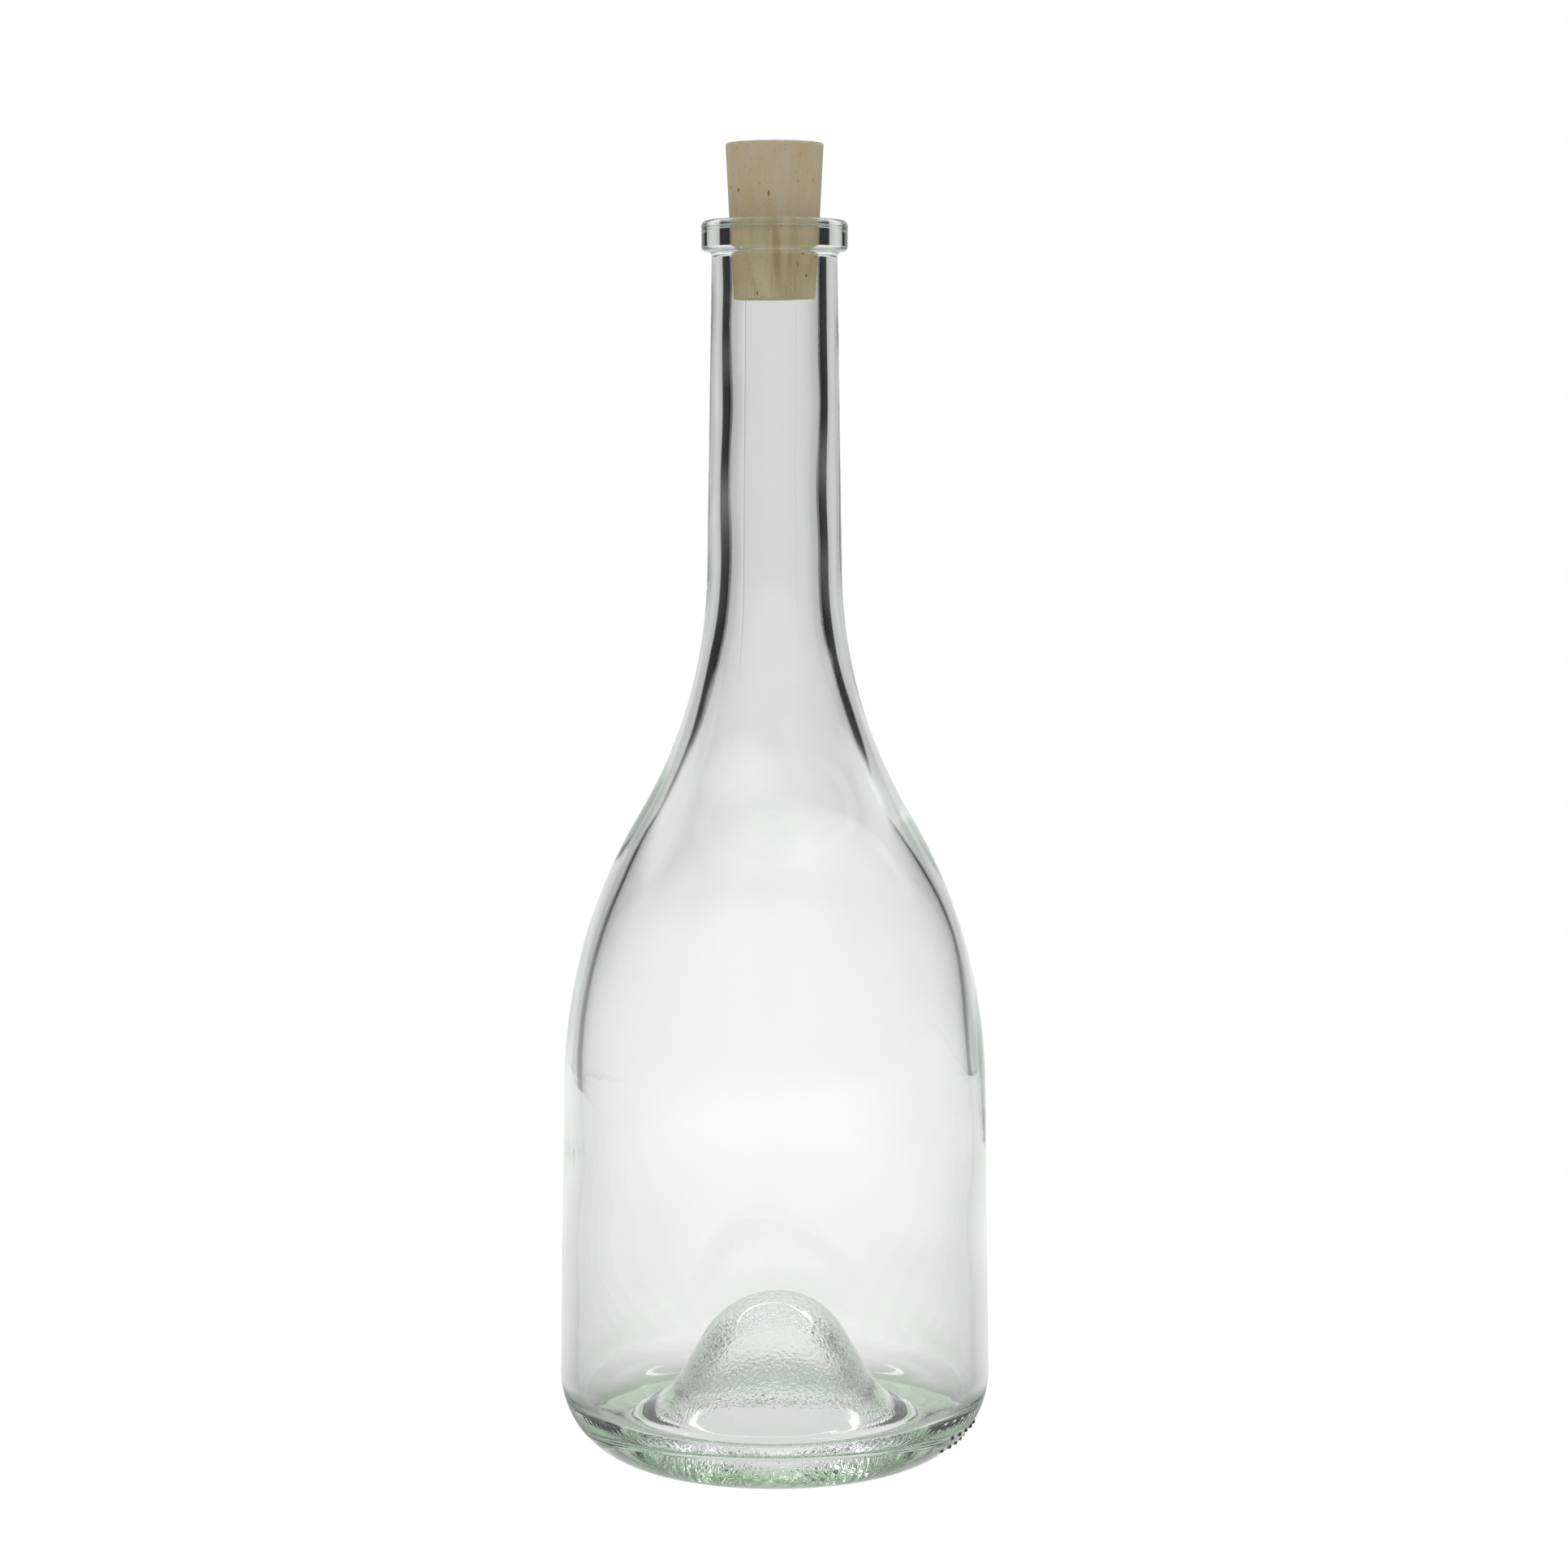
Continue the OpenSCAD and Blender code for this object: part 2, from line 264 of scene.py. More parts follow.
class StageSettings(bpy.types.PropertyGroup):
    """Camera, floor and light"""

    distance: length("Distance", "Camera's distance in front of the bottle's axis", 772.3 * MM)
    lift: length("Lift", "Camera's height above the floor", 202.0 * MM)
    aside: length("Aside", "Camera's distance to the right of the bottle's axis", 1.83 * MM)
    pitch: angle("Pitch", "How far the camera looks down", 5.09)
    lens: number("Lens", "Focal length in millimetres", 90.76)
    sensor: number("Sensor", "Width of the picture on the sensor in millimetres", 36.0)
    floor_size: length("Floor", "Half of the floor's side", 4.0)
    floor_gap: length("Floor gap", "Gap between the floor and the bottle", 0.02 * MM)
    floor_light: number("Floor light", "Brightness of the floor at the bottle's middle", 0.70)
    white: number("White", "Brightness of the bare background", 1.0)
    horizon: number("Horizon", "Brightness of the surroundings near the horizon", 0.76)
    strip_light: number("Strip", "Brightness of the strip of light behind the bottle", 7.0)
    arm: length("Card arm", "Radius of the cards round the view's middle", 600 * MM)
    card_low: length("Card's foot", "Lower edge of the tall cards under that middle", 231 * MM)
    card_high: length("Card's top", "Upper edge of the tall cards over that middle", 1320 * MM)
    foot: length("Foot card", "Depth of the low cards under that middle", 131 * MM)
    foot_start: length("Foot card start", "Inner radius of the low cards", 40 * MM)
    foot_shade: colour("Foot card shade", "Dark grey of the low cards", (0.22, 0.22, 0.22))


def arc(centre, radius, start, end, step):
    """Points centre + radius * (cos t, sin t), with t from start to end in steps of arc length"""
    steps = max(math.ceil(radius * abs(end - start) / step), 2)
    t = np.linspace(start, end, steps + 1)
    return np.column_stack((centre[0] + radius * np.cos(t), centre[1] + radius * np.sin(t)))


def line(start, end, step):
    """Points start + t * (end - start), with t from 0 to 1 in steps of length"""
    steps = max(math.ceil(math.dist(start, end) / step), 1)
    t = np.linspace(0, 1, steps + 1)[:, None]
    return np.asarray(start) + t * (np.asarray(end) - np.asarray(start))


def joined(*stretches):
    """One outline from stretches that start where the last one ended"""
    return np.concatenate([stretches[0]] + [s[1:] for s in stretches[1:]])


def shoulder(start, swell, sweep, wall_draft, neck, neck_draft, step):
    """Outline of a shoulder: an arc that starts square to the body wall, and an arc that touches
    it and the neck's line. The second centre lies at swell + sweep from the first one, and at
    sweep from the neck's line, which gives a quadratic for its height."""
    lean = math.tan(neck_draft)
    first = (start[0] - swell * math.cos(wall_draft), start[1] - swell * math.sin(wall_draft))
    reach = neck[0] + neck[1] * lean + sweep / math.cos(neck_draft) - first[0]
    a = 1 + lean ** 2
    b = reach * lean + first[1]
    c = reach ** 2 + first[1] ** 2 - (swell + sweep) ** 2
    z = (b + math.sqrt(b ** 2 - a * c)) / a
    second = (first[0] + reach - z * lean, z)
    touch = math.atan2(second[1] - first[1], second[0] - first[0])
    return joined(
        arc(first, swell, wall_draft, touch, step),
        arc(second, sweep, math.pi + touch, math.pi + neck_draft, step),
    )


def heel_circle(size):
    """Centre of the heel's circle, which is level with the body's draft and cut by the floor"""
    x = size.body - size.heel * math.cos(size.body_draft)
    return x, math.sqrt(size.heel ** 2 - (size.ring - x) ** 2)


def heel_top(size):
    """Point where the heel turns into the body wall"""
    x, z = heel_circle(size)
    return x + size.heel * math.cos(size.body_draft), z + size.heel * math.sin(size.body_draft)


def wall_radius(size, z):
    """Radius of the outer body wall at a height, on the line that leaves the heel"""
    x, top_z = heel_top(size)
    return x - (z - top_z) * math.tan(size.body_draft)


def underside(size):
    """From the middle of the push-up's underside out to the standing ring: arc, line and arc"""
    crown_z = size.pushup - size.crown
    radius = size.crown - size.pushup_wall
    level = math.pi / 2
    crown = arc((0, crown_z), radius, level, level - size.flank, step=0.8 * MM)
    top = (radius * math.sin(size.flank), crown_z + radius * math.cos(size.flank))
    foot_z = size.root * (1 - math.cos(size.flank))
    foot = (top[0] + (top[1] - foot_z) / math.tan(size.flank), foot_z)
    centre = (foot[0] + size.root * math.sin(size.flank), size.root)
    root = arc(centre, size.root, -level - size.flank, -level, step=0.4 * MM)
    return joined(crown, line(top, foot, step=0.8 * MM), root)


def outside(size):
    """Outer wall from the heel's foot up to the underside of the lip, without the heel"""
    neck_top = size.height - size.lip_height - size.lip_fillet
    start = (wall_radius(size, size.shoulder), size.shoulder)
    curve = shoulder(
        start, size.swell, size.sweep, size.body_draft,
        (size.neck, neck_top), size.neck_draft, step=2.4 * MM,
    )
    centre = (size.neck + size.lip_fillet, neck_top)
    return joined(
        line(heel_top(size), start, step=4 * MM),
        curve,
        line(curve[-1], (size.neck, neck_top), step=3 * MM),
        arc(centre, size.lip_fillet, math.pi, math.pi / 2, step=0.16 * MM),
    )


def lip(size):
    """Band of the lip with its bead and round edges, over the top and into the bore"""
    under_z = size.height - size.lip_height
    low = (size.lip - size.lip_under, under_z + size.lip_under)
    high = (size.lip - size.lip_top, size.height - size.lip_top)
    mouth = (size.bore + size.mouth, size.height - size.mouth)
    bead_z = size.height - size.lip_top - size.bead_half
    t = np.linspace(-1, 1, 9)
    swell = size.bead * np.cos(t * math.pi / 2) ** 2
    bead = np.column_stack((size.lip + swell, bead_z + t * size.bead_half))
    quarter = math.pi / 2
    return joined(
        line((size.neck + size.lip_fillet, under_z), (low[0], under_z), step=0.3 * MM),
        arc(low, size.lip_under, -quarter, 0, step=0.15 * MM),
        line((size.lip, low[1]), bead[0], step=0.8 * MM),
        bead,
        arc(high, size.lip_top, 0, quarter, step=0.18 * MM),
        line((high[0], size.height), (mouth[0], size.height), step=0.6 * MM),
        arc(mouth, size.mouth, quarter, math.pi, step=0.18 * MM),
    )


def inside(size):
    """Inner wall from the bore down to the floor, then up the push-up to its middle"""
    start = (wall_radius(size, size.shoulder) - size.wall, size.shoulder)
    curve = shoulder(
        start, size.swell - size.shoulder_wall, size.sweep + size.shoulder_wall, size.body_draft,
        (size.bore, size.height - size.mouth), 0, step=2.2 * MM,
    )[::-1]
    corner_z = size.floor + size.corner
    wall = wall_radius(size, corner_z) - size.wall
    centre = (wall - size.corner * math.cos(size.body_draft), corner_z)
    corner = arc(centre, size.corner, size.body_draft, -math.pi / 2, step=0.8 * MM)
    crown_z = size.pushup - size.crown
    top = (size.crown * math.sin(size.flank), crown_z + size.crown * math.cos(size.flank))
    foot = top[0] + (top[1] - size.floor) / math.tan(size.flank)
    flare_x = centre[0] - size.flat
    radius = (flare_x - foot) / math.tan(size.flank / 2)
    down = -math.pi / 2
    flare = arc((flare_x, size.floor + radius), radius, down, down - size.flank, step=0.8 * MM)
    crown = arc((0, crown_z), size.crown, math.pi / 2 - size.flank, math.pi / 2, step=0.9 * MM)
    return joined(
        line((size.bore, size.height - size.mouth), curve[0], step=2.4 * MM),
        curve,
        line(start, corner[0], step=3 * MM),
        corner,
        line(corner[-1], flare[0], step=1.2 * MM),
        flare,
        line(flare[-1], top, step=1.0 * MM),
        crown,
    )


def row_step(size):
    """Angle on the heel from the middle of the two rows of dots to a row"""
    return size.dot_pitch / 2 / size.heel


def glass_rows(size, finish):
    """The whole profile from the underside's middle to the push-up's middle, as the rows' radius
    and height, and how many times finer each row's points lie round the axis"""
    x, z = heel_circle(size)
    foot = math.atan2(-z, size.ring - x)
    run_out = -math.acos((size.knurl_out - x) / size.heel)
    reach = math.asin(DOT_REACH * size.dot / size.heel)
    low, high = size.dot_place - row_step(size), size.dot_place + row_step(size)
    knurl, dot = finish.knurl_fold, finish.dot_fold
    heel = [
        (foot, run_out, 0.22 * MM, knurl),
        (run_out, low - reach, 0.9 * MM, 1),
        (low - reach, low + reach, 0.17 * MM, dot),
        (low + reach, high - reach, 0.5 * MM, dot),
        (high - reach, high + reach, 0.17 * MM, dot),
        (high + reach, size.body_draft, 1.0 * MM, 1),
    ]
    below = underside(size)
    stretches = [
        (below, 1),
        (line((below[-1][0], 0), (size.knurl_in, 0), step=0.6 * MM), 1),
        (line((size.knurl_in, 0), (size.ring, 0), step=0.17 * MM), knurl),
        *[(arc((x, z), size.heel, start, end, step), fold) for start, end, step, fold in heel],
        (outside(size), 1),
        (lip(size), 1),
        (inside(size), 1),
    ]
    points = joined(*[stretch for stretch, _ in stretches])
    folds = [np.full(len(stretch) - 1, fold) for stretch, fold in stretches]
    return points, np.concatenate([[1], *folds])


def sideways(points):
    """Unit normals of a profile, to the right of its way, from the chords beside each point"""
    way = np.gradient(points, axis=0)
    way /= np.linalg.norm(way, axis=1)[:, None]
    return np.column_stack((way[:, 1], -way[:, 0]))


def undulation(along, around, seed, terms, wavelength, lobes):
    """Smooth unevenness of about unit height: a sum of cosines of (lobes * around + 2 pi * along /
    wavelength + phase), whose whole lobes, wavelengths and phases are drawn from the seed"""
    draw = np.random.default_rng(seed)
    whole = draw.integers(-lobes, lobes + 1, terms)
    pace = draw.uniform(-1, 1, terms) * FULL_TURN / wavelength
    phase = draw.uniform(0, FULL_TURN, terms)
    total = sum(np.cos(m * around + k * along + p) for m, k, p in zip(whole, pace, phase))
    return total * math.sqrt(2 / terms)


def bump_step(value, low, high):
    """0 below low, 1 above high, and 3 t^2 - 2 t^3 between them"""
    t = np.clip((value - low) / (high - low), 0, 1)
    return t * t * (3 - 2 * t)


def turn_from(around, direction):
    """Angle from a direction, between minus half a turn and half a turn"""
    return (around - direction + math.pi) % FULL_TURN - math.pi


def azimuths(size, finish, total):
    """Directions of the points round the axis. They lie closer where a density of 1 plus a sum of
    gain * exp(-(turn / spread)^power) peaks: at the two mould seams and beside the dots."""
    steps = 7200
    peaks = [
        (finish.seam_turn, SEAM_SPREAD, 9, 2),
        (finish.seam_turn + math.pi, SEAM_SPREAD, 9, 2),
        (size.dot_turn, DOT_SPREAD, 1.5, 4),
    ]
    fine = np.linspace(-math.pi, math.pi, steps + 1)
    density = 1 + sum(
        gain * np.exp(-(turn_from(fine, direction) / spread) ** power)
        for direction, spread, gain, power in peaks
    )
    share = np.concatenate([[0], np.cumsum((density[1:] + density[:-1]) / 2)])
    return np.interp(np.arange(total) / total, share / share[-1], fine)


def knurl_lift(size, r, around):
    """Height of the grooves' round ceiling over the standing face: a circle's arc across the
    groove, let in over a short ramp"""
    pitch = FULL_TURN / size.knurls
    across = r * ((around / pitch + 0.5) % 1 - 0.5) * pitch
    ceiling = np.sqrt(np.clip(size.knurl_round ** 2 - across ** 2, 0, None))
    lift = np.clip(ceiling - size.knurl_round + size.knurl_depth, 0, None)
    return lift * bump_step(r, size.knurl_in, size.knurl_in + size.knurl_ramp)


def dot_height(size, r, z, around):
    """Height of the dots' caps: sqrt(radius^2 - distance^2) - sink, where that is positive"""
    x, heel_z = heel_circle(size)
    place = np.arctan2(z - heel_z, r - x)
    height = np.zeros(np.broadcast(r, around).shape)
    for row in (-1, 1):
        middle = size.dot_place + row * row_step(size)
        reach = x + size.heel * math.cos(middle)
        up = size.heel * (place - middle)
        for k in range(size.dots):
            direction = size.dot_turn + (k - (size.dots - 1) / 2) * size.dot_pitch / reach
            across = r * turn_from(around, direction)
            cap = np.sqrt(np.clip(size.dot ** 2 - up ** 2 - across ** 2, 0, None)) - size.dot_sink
            height = np.maximum(height, cap)
    return height


def seam_height(finish, r, around):
    """Height of the two mould seams: a bell curve over the distance from the seam"""
    height = np.zeros(np.broadcast(r, around).shape)
    for direction in (finish.seam_turn, finish.seam_turn + math.pi):
        across = r * turn_from(around, direction) / finish.seam_half
        height = height + finish.seam * np.exp(-across ** 2)
    return height


def glass_relief(size, finish, zone, r, z, around):
    """How far the glass stands proud of its plain profile, along the normal, in a zone and at a
    radius, a height and directions. Each mark is its height times its waves and its fades."""
    depth = size.height - z
    neck = bump_step(z, *NECK_HEIGHTS)
    plain = bump_step(depth, *PLAIN_DEPTHS)
    if zone == INNER:
        body = bump_step(z, *BODY_HEIGHTS) * (1 - neck)
        base = 1 - bump_step(z, *BASE_HEIGHTS)
        return (
            finish.neck_ripple * neck * plain * undulation(z, around, *NECK_WAVES)
            + finish.body_ripple * body * undulation(z, around, *BODY_WAVES)
            + finish.base_ripple * base * undulation(z + r, around, *BASE_WAVES)
        )
    if zone == OUTER:
        skin = finish.skin_ripple * plain * bump_step(z, *SKIN_HEIGHTS)
        seam = bump_step(z, *SEAM_HEIGHTS) * bump_step(depth, *SEAM_DEPTHS)
        waves = undulation(z, around, *SKIN_WAVES)
        return skin * waves + seam * seam_height(finish, r, around)
    stipple = bump_step(r, *STIPPLE_START_RADII) * (1 - bump_step(r, *STIPPLE_END_RADII))
    return finish.stipple * stipple * undulation(z + r, around, *STIPPLE_WAVES)


def strip(low, high, low_total, high_total):
    """Faces between two rings of points. Where one ring has several times as many points as the
    other, each face takes in all of them on that side."""
    fewest = min(low_total, high_total)
    first = np.arange(fewest)
    low_fold, high_fold = low_total // fewest, high_total // fewest
    below = [low + (first * low_fold + k) % low_total for k in range(low_fold + 1)]
    above = [high + (first * high_fold + k) % high_total for k in range(high_fold, -1, -1)]
    return np.column_stack(below + above)


def fan(pole, start, total, upwards):
    """Triangles between a pole and the ring beside it"""
    first = np.arange(total)
    a, b = start + first, start + (first + 1) % total
    ends = (b, a) if upwards else (a, b)
    return np.column_stack((np.full(total, pole), *ends))


def turned_faces(totals):
    """Faces of a closed turned surface: a pole, rings with these totals of points, and a pole"""
    starts = 1 + np.concatenate([[0], np.cumsum(totals)]).astype(int)
    faces = [fan(0, starts[0], totals[0], True)]
    faces += [
        strip(starts[i], starts[i + 1], totals[i], totals[i + 1]) for i in range(len(totals) - 1)
    ]
    faces.append(fan(starts[-1], starts[-2], totals[-1], False))
    return faces


def fill_mesh(name, points, faces, marks):
    """Smooth mesh from points, arrays of faces, and marks, which are named numbers of the points"""
    corners = np.concatenate([f.ravel() for f in faces])
    sizes = np.concatenate([np.full(len(f), f.shape[1]) for f in faces])
    starts = np.concatenate([[0], np.cumsum(sizes)[:-1]])
    mesh = bpy.data.meshes.new(name)
    mesh.vertices.add(len(points))
    mesh.vertices.foreach_set("co", points.astype(np.float32).ravel())
    mesh.loops.add(len(corners))
    mesh.loops.foreach_set("vertex_index", corners.astype(np.int32))
    mesh.polygons.add(len(sizes))
    mesh.polygons.foreach_set("loop_start", starts.astype(np.int32))
    mesh.polygons.foreach_set("use_smooth", np.ones(len(sizes), bool))
    mesh.update(calc_edges=True)
    if mesh.validate():
        raise RuntimeError(f"the surface of {name} had faces that don't close")
    for mark, value in marks.items():
        numbers = mesh.attributes.new(mark, "FLOAT", "POINT")
        numbers.data.foreach_set("value", value.astype(np.float32))
    return mesh


def add_piece(name, mesh, material, body, node):
    """Object for a mesh, which rides on a body and stands for a node of the frame"""
    mesh.materials.append(material)
    piece = bpy.data.objects.new(name, mesh)
    bpy.context.scene.collection.objects.link(piece)
    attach(piece, body)
    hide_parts(node)
    return piece


def glass_marks(finish, zone, points):
    """What the material reads at each row, from 0 to 1: the frost under the push-up, the green of
    the heel, and the grooves that run out up the heel"""
    r, z = points.T
    groove = bump_step(z, *GROOVE_START_HEIGHTS) * (1 - bump_step(z, *GROOVE_END_HEIGHTS))
    return {
        "frost": (zone == UNDER) * (1 - bump_step(r, finish.frost_low, finish.frost_end)),
        "heel": (zone == OUTER) * (1 - bump_step(z, finish.green_low, finish.green_top)),
        "groove": (zone == OUTER) * groove,
    }


def blown_glass(size, finish):
    """Points, faces and marks of the glass: at each row of the profile, radius and height are
    moved along the profile's normal by the relief, and turned round the axis"""
    points, folds = glass_rows(size, finish)
    normals = sideways(points)
    zone = np.full(len(points), UNDER)
    zone[np.argmax(points[:, 0] >= size.knurl_in):] = OUTER
    zone[np.argmax(points[:, 1] >= size.height - SLACK):] = INNER
    totals = folds[1:-1] * finish.columns
    rings = []
    for i, total in enumerate(totals, start=1):
        around = azimuths(size, finish, total)
        r, z = points[i]
        move = glass_relief(size, finish, zone[i], r, z, around)
        if folds[i] == finish.dot_fold:
            move = move + dot_height(size, r, z, around)
        ring_r = r + normals[i, 0] * move
        ring_z = z + normals[i, 1] * move
        if folds[i] == finish.knurl_fold:
            ring_z = np.maximum(ring_z, knurl_lift(size, r, around))
        rings.append(np.column_stack((ring_r * np.cos(around), ring_r * np.sin(around), ring_z)))
    ends = [np.array([[0, 0, points[i, 1]]]) for i in (0, -1)]
    spread = np.concatenate([[1], totals, [1]])
    marks = {
        name: np.repeat(value, spread) for name, value in glass_marks(finish, zone, points).items()
    }
    return np.concatenate([ends[0], *rings, ends[1]]), turned_faces(totals), marks


def cork_rows(cork, low, high):
    """Profile of the cork from the middle of its bottom to the middle of its top, with the two
    edges rounded"""
    lean = math.atan((cork.top - cork.bottom) / (high - low))
    foot = (
        cork.bottom + cork.bottom_round * (math.tan(lean) - 1 / math.cos(lean)),
        low + cork.bottom_round,
    )
    head = (
        cork.top - cork.top_round * (math.tan(lean) + 1 / math.cos(lean)), high - cork.top_round
    )
    below = arc(foot, cork.bottom_round, -math.pi / 2, -lean, step=0.15 * MM)
    above = arc(head, cork.top_round, -lean, math.pi / 2, step=0.1 * MM)
    return joined(
        line((0, low), below[0], step=0.7 * MM),
        below,
        line(below[-1], above[0], cork.row),
        above,
        line(above[-1], (0, high), step=0.4 * MM),
    )


def cork_relief(cork, r, z, around, low, high):
    """Depth of the cork's pits, chips and grain under its plain profile, and of its pits alone. A
    pit is deep * exp(-(across / width)^4 - (up / tall)^4), and a chip is deep * exp(-(across /
    width)^4 - (distance from the top edge / (CHIP_REACH * deep))^2)."""
    draw = np.random.default_rng(CORK_SEED)
    side = bump_step(r, 0.8 * cork.bottom, 0.9 * cork.bottom)
    grain = np.clip(1 + undulation(z, around, *GRAIN_WAVES), 0, None) / 2
    depth = cork.grain * grain * side
    pit = np.zeros(depth.shape)
    for _ in range(cork.pits):
        direction, share = draw.uniform(-math.pi, math.pi), draw.uniform(*PIT_PLACES)
        width, tall = draw.uniform(*PIT_WIDTHS), draw.uniform(*PIT_HEIGHTS)
        deep = cork.pit_depth * draw.uniform(*PIT_SHARES)
        across = r * turn_from(around, direction) / width
        up = (z - low - share * (high - low)) / tall
        pit = np.maximum(pit, side * deep * np.exp(-across ** 4 - up ** 4))
    for _ in range(cork.chips):
        direction = draw.uniform(-math.pi, math.pi)
        width, deep = draw.uniform(*CHIP_WIDTHS), draw.uniform(*CHIP_DEPTHS)
        across = r * turn_from(around, direction) / width
        edge = np.hypot(r - cork.top, z - high) / (CHIP_REACH * deep)
        depth = np.maximum(depth, deep * np.exp(-across ** 4 - edge ** 2))
    return depth + pit, pit


def cut_cork(cork, low, high):
    """Points, faces and marks of the cork, which say how deep in a pit each point lies, 0 to 1"""
    points = cork_rows(cork, low, high)
    normals = sideways(points)
    around = np.linspace(-math.pi, math.pi, cork.columns, endpoint=False)[None, :]
    r, z = points[1:-1, 0:1], points[1:-1, 1:2]
    depth, pit = cork_relief(cork, r, z, around, low, high)
    ring_r = np.clip(r - normals[1:-1, 0:1] * depth, 0, None)
    ring_z = z - normals[1:-1, 1:2] * depth
    grid = np.stack((ring_r * np.cos(around), ring_r * np.sin(around), ring_z), axis=-1)
    ends = np.array([[0, 0, low]]), np.array([[0, 0, high]])
    totals = np.full(len(points) - 2, cork.columns)
    marks = {"pit": np.concatenate([[0], pit.ravel(), [0]]) / cork.pit_depth}
    return np.concatenate([ends[0], grid.reshape(-1, 3), ends[1]]), turned_faces(totals), marks


class Value:
    """One socket of a shader tree. Sums, differences and products add Math nodes."""

    def __init__(self, tree, socket=None):
        self.tree = tree
        self.socket = socket

    def node(self, kind, links=None, settings=None, out=0):
        """New node with its settings, and its inputs set or linked by name or number"""
        node = self.tree.nodes.new(kind)
        for key, value in (settings or {}).items():
            setattr(node, key, value)
        for key, value in (links or {}).items():
            if isinstance(value, Value):
                self.tree.links.new(value.socket, node.inputs[key])
            else:
                node.inputs[key].default_value = value
        return Value(self.tree, node.outputs[out])

    def to(self, output, name="Surface"):
        """Link this value to an input of the output node"""
        self.tree.links.new(self.socket, output.inputs[name])

    def math(self, operation, *others):
        """This value, and any others after it, through a Math node"""
        links = dict(enumerate((self, *others)))
        return self.node("ShaderNodeMath", links, {"operation": operation})

    def __add__(self, other):
        return self.math("ADD", other)

    def __sub__(self, other):
        return self.math("SUBTRACT", other)

    def __rsub__(self, other):
        return self.node("ShaderNodeMath", {0: other, 1: self}, {"operation": "SUBTRACT"})

    def __mul__(self, other):
        return self.math("MULTIPLY", other)

    __radd__ = __add__
    __rmul__ = __mul__

    def between(self, low, high):
        """0 below low, 1 above high, smooth between them"""
        return self.node(
            "ShaderNodeMapRange", {"Value": self, "From Min": low, "From Max": high},
            {"interpolation_type": "SMOOTHSTEP"},
        )

    def mix(self, first, second):
        """Colour from first to second, by this value"""
        return self.node(
            "ShaderNodeMix", {0: self, 6: first, 7: second}, {"data_type": "RGBA"}, 2
        )

    def attribute(self, name):
        """Number that the mesh carries under a name"""
        settings = {"attribute_name": name, "attribute_type": "GEOMETRY"}
        return self.node("ShaderNodeAttribute", settings=settings, out=2)

    def part(self, axis):
        """One part of a vector, X, Y or Z"""
        return self.node("ShaderNodeSeparateXYZ", {0: self}, out="XYZ".index(axis))

    def scaled(self, x, y, z):
        """Vector times three numbers"""
        return self.node(
            "ShaderNodeVectorMath", {0: self, 1: (x, y, z)}, {"operation": "MULTIPLY"}
        )

    def radius(self):
        """Distance of a point from the Z axis"""
        flat = self.scaled(1, 1, 0)
        return flat.node("ShaderNodeVectorMath", {0: flat}, {"operation": "LENGTH"}, 1)

    def noise(self, scale, detail=3.0, roughness=0.5):
        """Noise texture read at this vector, about 0 to 1"""
        links = {"Vector": self, "Scale": scale, "Detail": detail, "Roughness": roughness}
        return self.node("ShaderNodeTexNoise", links)


def opaque(rgb):
    """Colour with full alpha"""
    return (*rgb, 1)


def new_material(name):
    """Material with an empty tree: the material, a value to build from and the output node"""
    material = bpy.data.materials.new(name)
    material.use_nodes = True
    tree = material.node_tree
    tree.nodes.clear()
    return material, Value(tree), tree.nodes.new("ShaderNodeOutputMaterial")


def clear_glass(size, finish):
    """Clear glass, green where it is thick. Its bump is slow and fine waves, grit where it is
    frosted, and the grooves' run-out up the heel, which is sin(grooves * direction)."""
    material, start, output = new_material("clear_glass")
    point = start.node("ShaderNodeTexCoord", out=3)
    frost = start.attribute("frost")
    tint = start.attribute("heel").mix(opaque((1, 1, 1)), opaque(finish.base_tint))
    waves = point.noise(finish.wave_scale, 2.0) + point.noise(finish.fine_scale, 2.0) * 0.12
    grit = point.noise(finish.grit_scale, 1.0) * frost * finish.grit
    around = point.part("Y").math("ARCTAN2", point.part("X"))
    groove = (around * size.knurls).math("SINE") * start.attribute("groove") * finish.groove
    bump = start.node("ShaderNodeBump", {
        "Height": waves + grit + groove, "Strength": 0.35, "Distance": finish.wave,
    })
    smudge = point.scaled(1, 1, 0.4).noise(finish.smudge_scale, 4.0).between(0.5, 0.8)
    surface = start.node("ShaderNodeBsdfPrincipled", {
        "Base Color": tint, "Roughness": smudge * 0.012 + frost * finish.frost, "IOR": finish.ior,
        "Transmission Weight": 1.0, "Normal": bump,
    })
    volume = start.node(
        "ShaderNodeVolumeAbsorption", {"Color": opaque(finish.tint), "Density": finish.depth}
    )
    surface.to(output)
    volume.to(output, "Volume")
    return material


